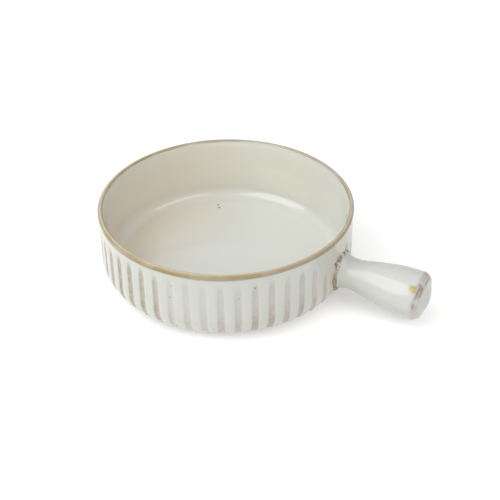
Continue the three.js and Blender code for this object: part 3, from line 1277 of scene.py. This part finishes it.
        # The handle takes the darker outer cream: painted shade.
        base = g.mix(g.ramp(coat.clouds["Cloud"], self.cloud_warmth), self.shaded_outer_cream, self.warm)
        grip = coat.grip
        edge_run = grip.end_radius - grip.end_round + grip.end_round * self.worn_turn
        from_edge = g.math("ABSOLUTE", g.math("SUBTRACT", tip_run, edge_run))
        ragged = g.math("MULTIPLY_ADD", coat.clouds["Fine"], self.worn_ragged, from_edge)
        patches = g.ramp(g.noise(coat.vector, self.worn_grain)["Fac"], self.worn_patches)
        worn = g.product(g.ramp(ragged, self.worn_reach), patches, g.ramp(height, self.worn_rise))
        slanted = g.join(tip_run, g.product(height, self.dark_slant))
        dark = g.math("ADD", g.noise(slanted, self.dark_grain)["Fac"], g.ramp(height, self.dark_rise))
        worn_tone = g.mix(g.ramp(dark, self.dark_share), self.worn_pink, self.worn_dark)
        base = g.mix(worn, base, worn_tone)
        gold = self.gold_spot.mask(coat, coat.wandering(self.mark_wander))
        base = g.mix(g.product(gold, self.gold_strength), base, self.gold)
        specks = coat.specks(self.handle_speck_cells, self.handle_speck_share)
        base = g.mix(g.product(specks, self.handle_speck_strength), base, self.speck)
        waves = g.noise(coat.vector, self.handle_waves.grain)["Fac"]
        normal = coat.bump(waves, self.handle_waves.height)
        surface = {"Base Color": base, "Roughness": self.roughness, "Normal": normal}
        return coat.finish({**surface, "IOR": self.handle_refraction})


@dataclass(frozen=True)
class SlipFinish:
    """Fired slip under a thin run of glaze: olive where it is thick underneath, cream above."""

    olive: tuple = colour(160, 146, 104)
    cream: tuple = colour(206, 201, 188)
    dark: tuple = colour(110, 94, 76)
    roughness: float = 0.15
    cream_rise: Step = Step(3 * MM, 9 * MM)
    stroke_level: Step = Step(0.0, 1.0, 0.56, 0.47)
    stroke_edge: float = 0.06
    stroke_strength: float = 0.8

    def slip(self, coat: Coat) -> Material:
        """Makes the slip's material.

        Args:
            coat: the slip's coat.

        Returns:
            The material.
        """
        g = coat.g
        above = g.ramp(g.math("SUBTRACT", coat.place["Z"], coat.grip.axis_height), self.cream_rise)
        base = g.mix(above, self.olive, self.cream)
        level = g.ramp(above, self.stroke_level)
        full = g.math("ADD", level, self.stroke_edge)
        stroke = g.ramp(coat.clouds["Fine"], Step(level, full, 0.0, self.stroke_strength))
        return coat.finish({"Base Color": g.mix(stroke, base, self.dark), "Roughness": self.roughness})


class LampRole(Enum):
    """What a soft box is there for."""

    LIGHT = "lights the surfaces and isn't mirrored in the glaze"
    CARD = "is mirrored in the glaze and doesn't light the surfaces"


@dataclass(frozen=True)
class Lamp:
    """A soft box that looks at the bowl: angles in degrees, lengths in metres, power in watts."""

    name: str
    role: LampRole
    azimuth: float
    elevation: float
    distance: float
    width: float
    tall: float
    power: float

    def add(self, target: Vector) -> None:
        """Puts the soft box in the scene.

        Args:
            target: the point that it looks at.
        """
        light = bpy.data.lights.new(self.name, "AREA")
        light.shape = "RECTANGLE"
        light.size = self.width
        light.size_y = self.tall
        light.energy = self.power
        lamp = bpy.data.objects.new(self.name, light)
        away = direction(self.azimuth, self.elevation)
        lamp.location = target + self.distance * away
        lamp.rotation_euler = away.to_track_quat("Z", "Y").to_euler()
        lamp.visible_glossy = self.role is LampRole.CARD
        lamp.visible_diffuse = self.role is LampRole.LIGHT
        bpy.context.scene.collection.objects.link(lamp)


@dataclass(frozen=True)
class PhotoCamera:
    """The camera fitted to the photograph: angles in degrees, the sensor in millimetres."""

    azimuth: float = 27.0
    elevation: float = 32.397
    rim_distances: float = 9.5
    focal_pixels: float = 1215.83
    image_pixels: float = 500.0
    sensor: float = 36.0
    near_clip: float = 10 * MM
    yaw: float = 1.086
    pitch: float = -2.305
    roll: float = 1.211

    def add(self, bowl: BowlSizes) -> None:
        """Puts the camera in the scene.

        Args:
            bowl: the bowl's sizes; the camera is placed by the middle of the rim.
        """
        data = bpy.data.cameras.new("photo_camera")
        data.sensor_width = self.sensor
        data.lens = self.sensor * self.focal_pixels / self.image_pixels
        data.clip_start = self.near_clip
        camera = bpy.data.objects.new("photo_camera", data)
        back = direction(self.azimuth, self.elevation) * self.rim_distances * bowl.rim_radius
        camera.matrix_world = Matrix.Translation(Vector((bowl.axis_x, 0, bowl.height)) + back)
        turns = (
            (self.azimuth, "Z"),
            (90 - self.elevation, "X"),
            (-self.yaw, "Y"),
            (self.pitch, "X"),
            (-self.roll, "Z"),
        )
        for degrees, axis in turns:
            camera.matrix_world = camera.matrix_world @ Matrix.Rotation(math.radians(degrees), 4, axis)
        bpy.context.scene.collection.objects.link(camera)
        bpy.context.scene.camera = camera


@dataclass(frozen=True)
class Studio:
    """White sweep, soft boxes and world light.

    Each lamp has its name, role, azimuth, elevation, distance, width, height and power.
    """

    lamps: tuple[Lamp, ...] = (
        Lamp("left_box", LampRole.LIGHT, -46, 42, 1.2, 1.0, 1.0, 5.7),
        Lamp("low_box", LampRole.LIGHT, -20, 8, 1.5, 1.4, 0.6, 4.2),
        Lamp("back_box", LampRole.LIGHT, -110, 45, 1.4, 1.4, 1.2, 3.7),
        Lamp("right_box", LampRole.LIGHT, 74, 28, 1.4, 1.0, 1.0, 5.1),
        Lamp("front_box", LampRole.LIGHT, 13, 65, 1.3, 1.6, 1.4, 8.0),
        Lamp("left_card", LampRole.CARD, -34, 43, 1.2, 1.15, 1.15, 11.5),
        Lamp("right_card", LampRole.CARD, 82, 48, 1.2, 1.0, 0.3, 2.7),
    )
    world_strength: float = 0.2
    floor_width: float = 6.0
    floor_roughness: float = 0.9
    floor_glow: float = 0.355
    floor_seen: tuple = colour(250, 250, 250)
    floor_bounce: tuple = colour(238, 238, 236)

    def add(self, bowl: BowlSizes) -> None:
        """Puts the floor, the lamps and the world in the scene.

        Args:
            bowl: the bowl's sizes; the lamps look at the middle of the bowl.
        """
        target = Vector((bowl.axis_x, 0, bowl.height / 2))
        for lamp in self.lamps:
            lamp.add(target)
        self.floor()
        self.world()
        bpy.context.scene.view_settings.view_transform = "Standard"

    def seen_rays(self, g: Graph) -> Socket:
        """Finds the rays that show a surface to the camera, directly, through glass or in a reflection.

        Args:
            g: the graph of the floor or the world.

        Returns:
            A socket that is one for those rays.
        """
        path = g.add("ShaderNodeLightPath").outputs
        seen = g.math("MAXIMUM", path["Is Camera Ray"], path["Is Transmission Ray"])
        return g.math("MAXIMUM", seen, path["Is Glossy Ray"])

    def floor(self) -> None:
        """Adds the white floor that keeps the bowl's shadow."""
        half = self.floor_width / 2
        mesh = bpy.data.meshes.new("floor")
        corners = [(-half, -half, 0), (half, -half, 0), (half, half, 0), (-half, half, 0)]
        mesh.from_pydata(corners, [], [(0, 1, 2, 3)])
        material, g, shader = new_material("floor_white")
        seen = self.seen_rays(g)
        g.feed(shader["Base Color"], g.mix(seen, self.floor_bounce, self.floor_seen))
        g.feed(shader["Roughness"], self.floor_roughness)
        g.feed(shader["Specular IOR Level"], 0.0)
        g.feed(shader["Emission Color"], WHITE)
        g.feed(shader["Emission Strength"], g.product(seen, self.floor_glow))
        mesh.materials.append(material)
        place_object("floor", mesh)

    def world(self) -> None:
        """Makes the world white to the camera and in reflections, and softer as a light."""
        world = bpy.data.worlds.new("white_studio")
        world.use_nodes = True
        bpy.context.scene.world = world
        g = Graph(world.node_tree)
        background = world.node_tree.nodes["Background"].inputs
        g.feed(background["Color"], WHITE)
        g.feed(background["Strength"], g.ramp(self.seen_rays(g), Step(0.0, 1.0, self.world_strength, 1.0)))


def main() -> None:
    """Builds the bowl, its studio and its camera."""
    logging.basicConfig(level=logging.INFO)
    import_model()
    bowl = BowlSizes.from_frame()
    grip = HandleSizes.from_frame(bowl)
    effects = SharedEffects()
    glaze = GlazeFinish()
    pieces = (
        (BowlBody(Node.BODY, Slot.BODY, bowl), glaze.body),
        (Handle(Node.HANDLE, Slot.HANDLE, grip), glaze.handle),
        (LutingSlip(Node.SLIP, Slot.SLIP, grip, bowl), SlipFinish().slip),
    )
    for piece, finish in pieces:
        material = finish(Coat(piece.slot, effects, bowl, grip))
        piece.build(material)
        piece.dress(material)
        LOG.info("%s: %d faces", piece.node.value, len(piece.model.data.polygons))
    Studio().add(bowl)
    PhotoCamera().add(bowl)


if __name__ == "__main__":
    main()
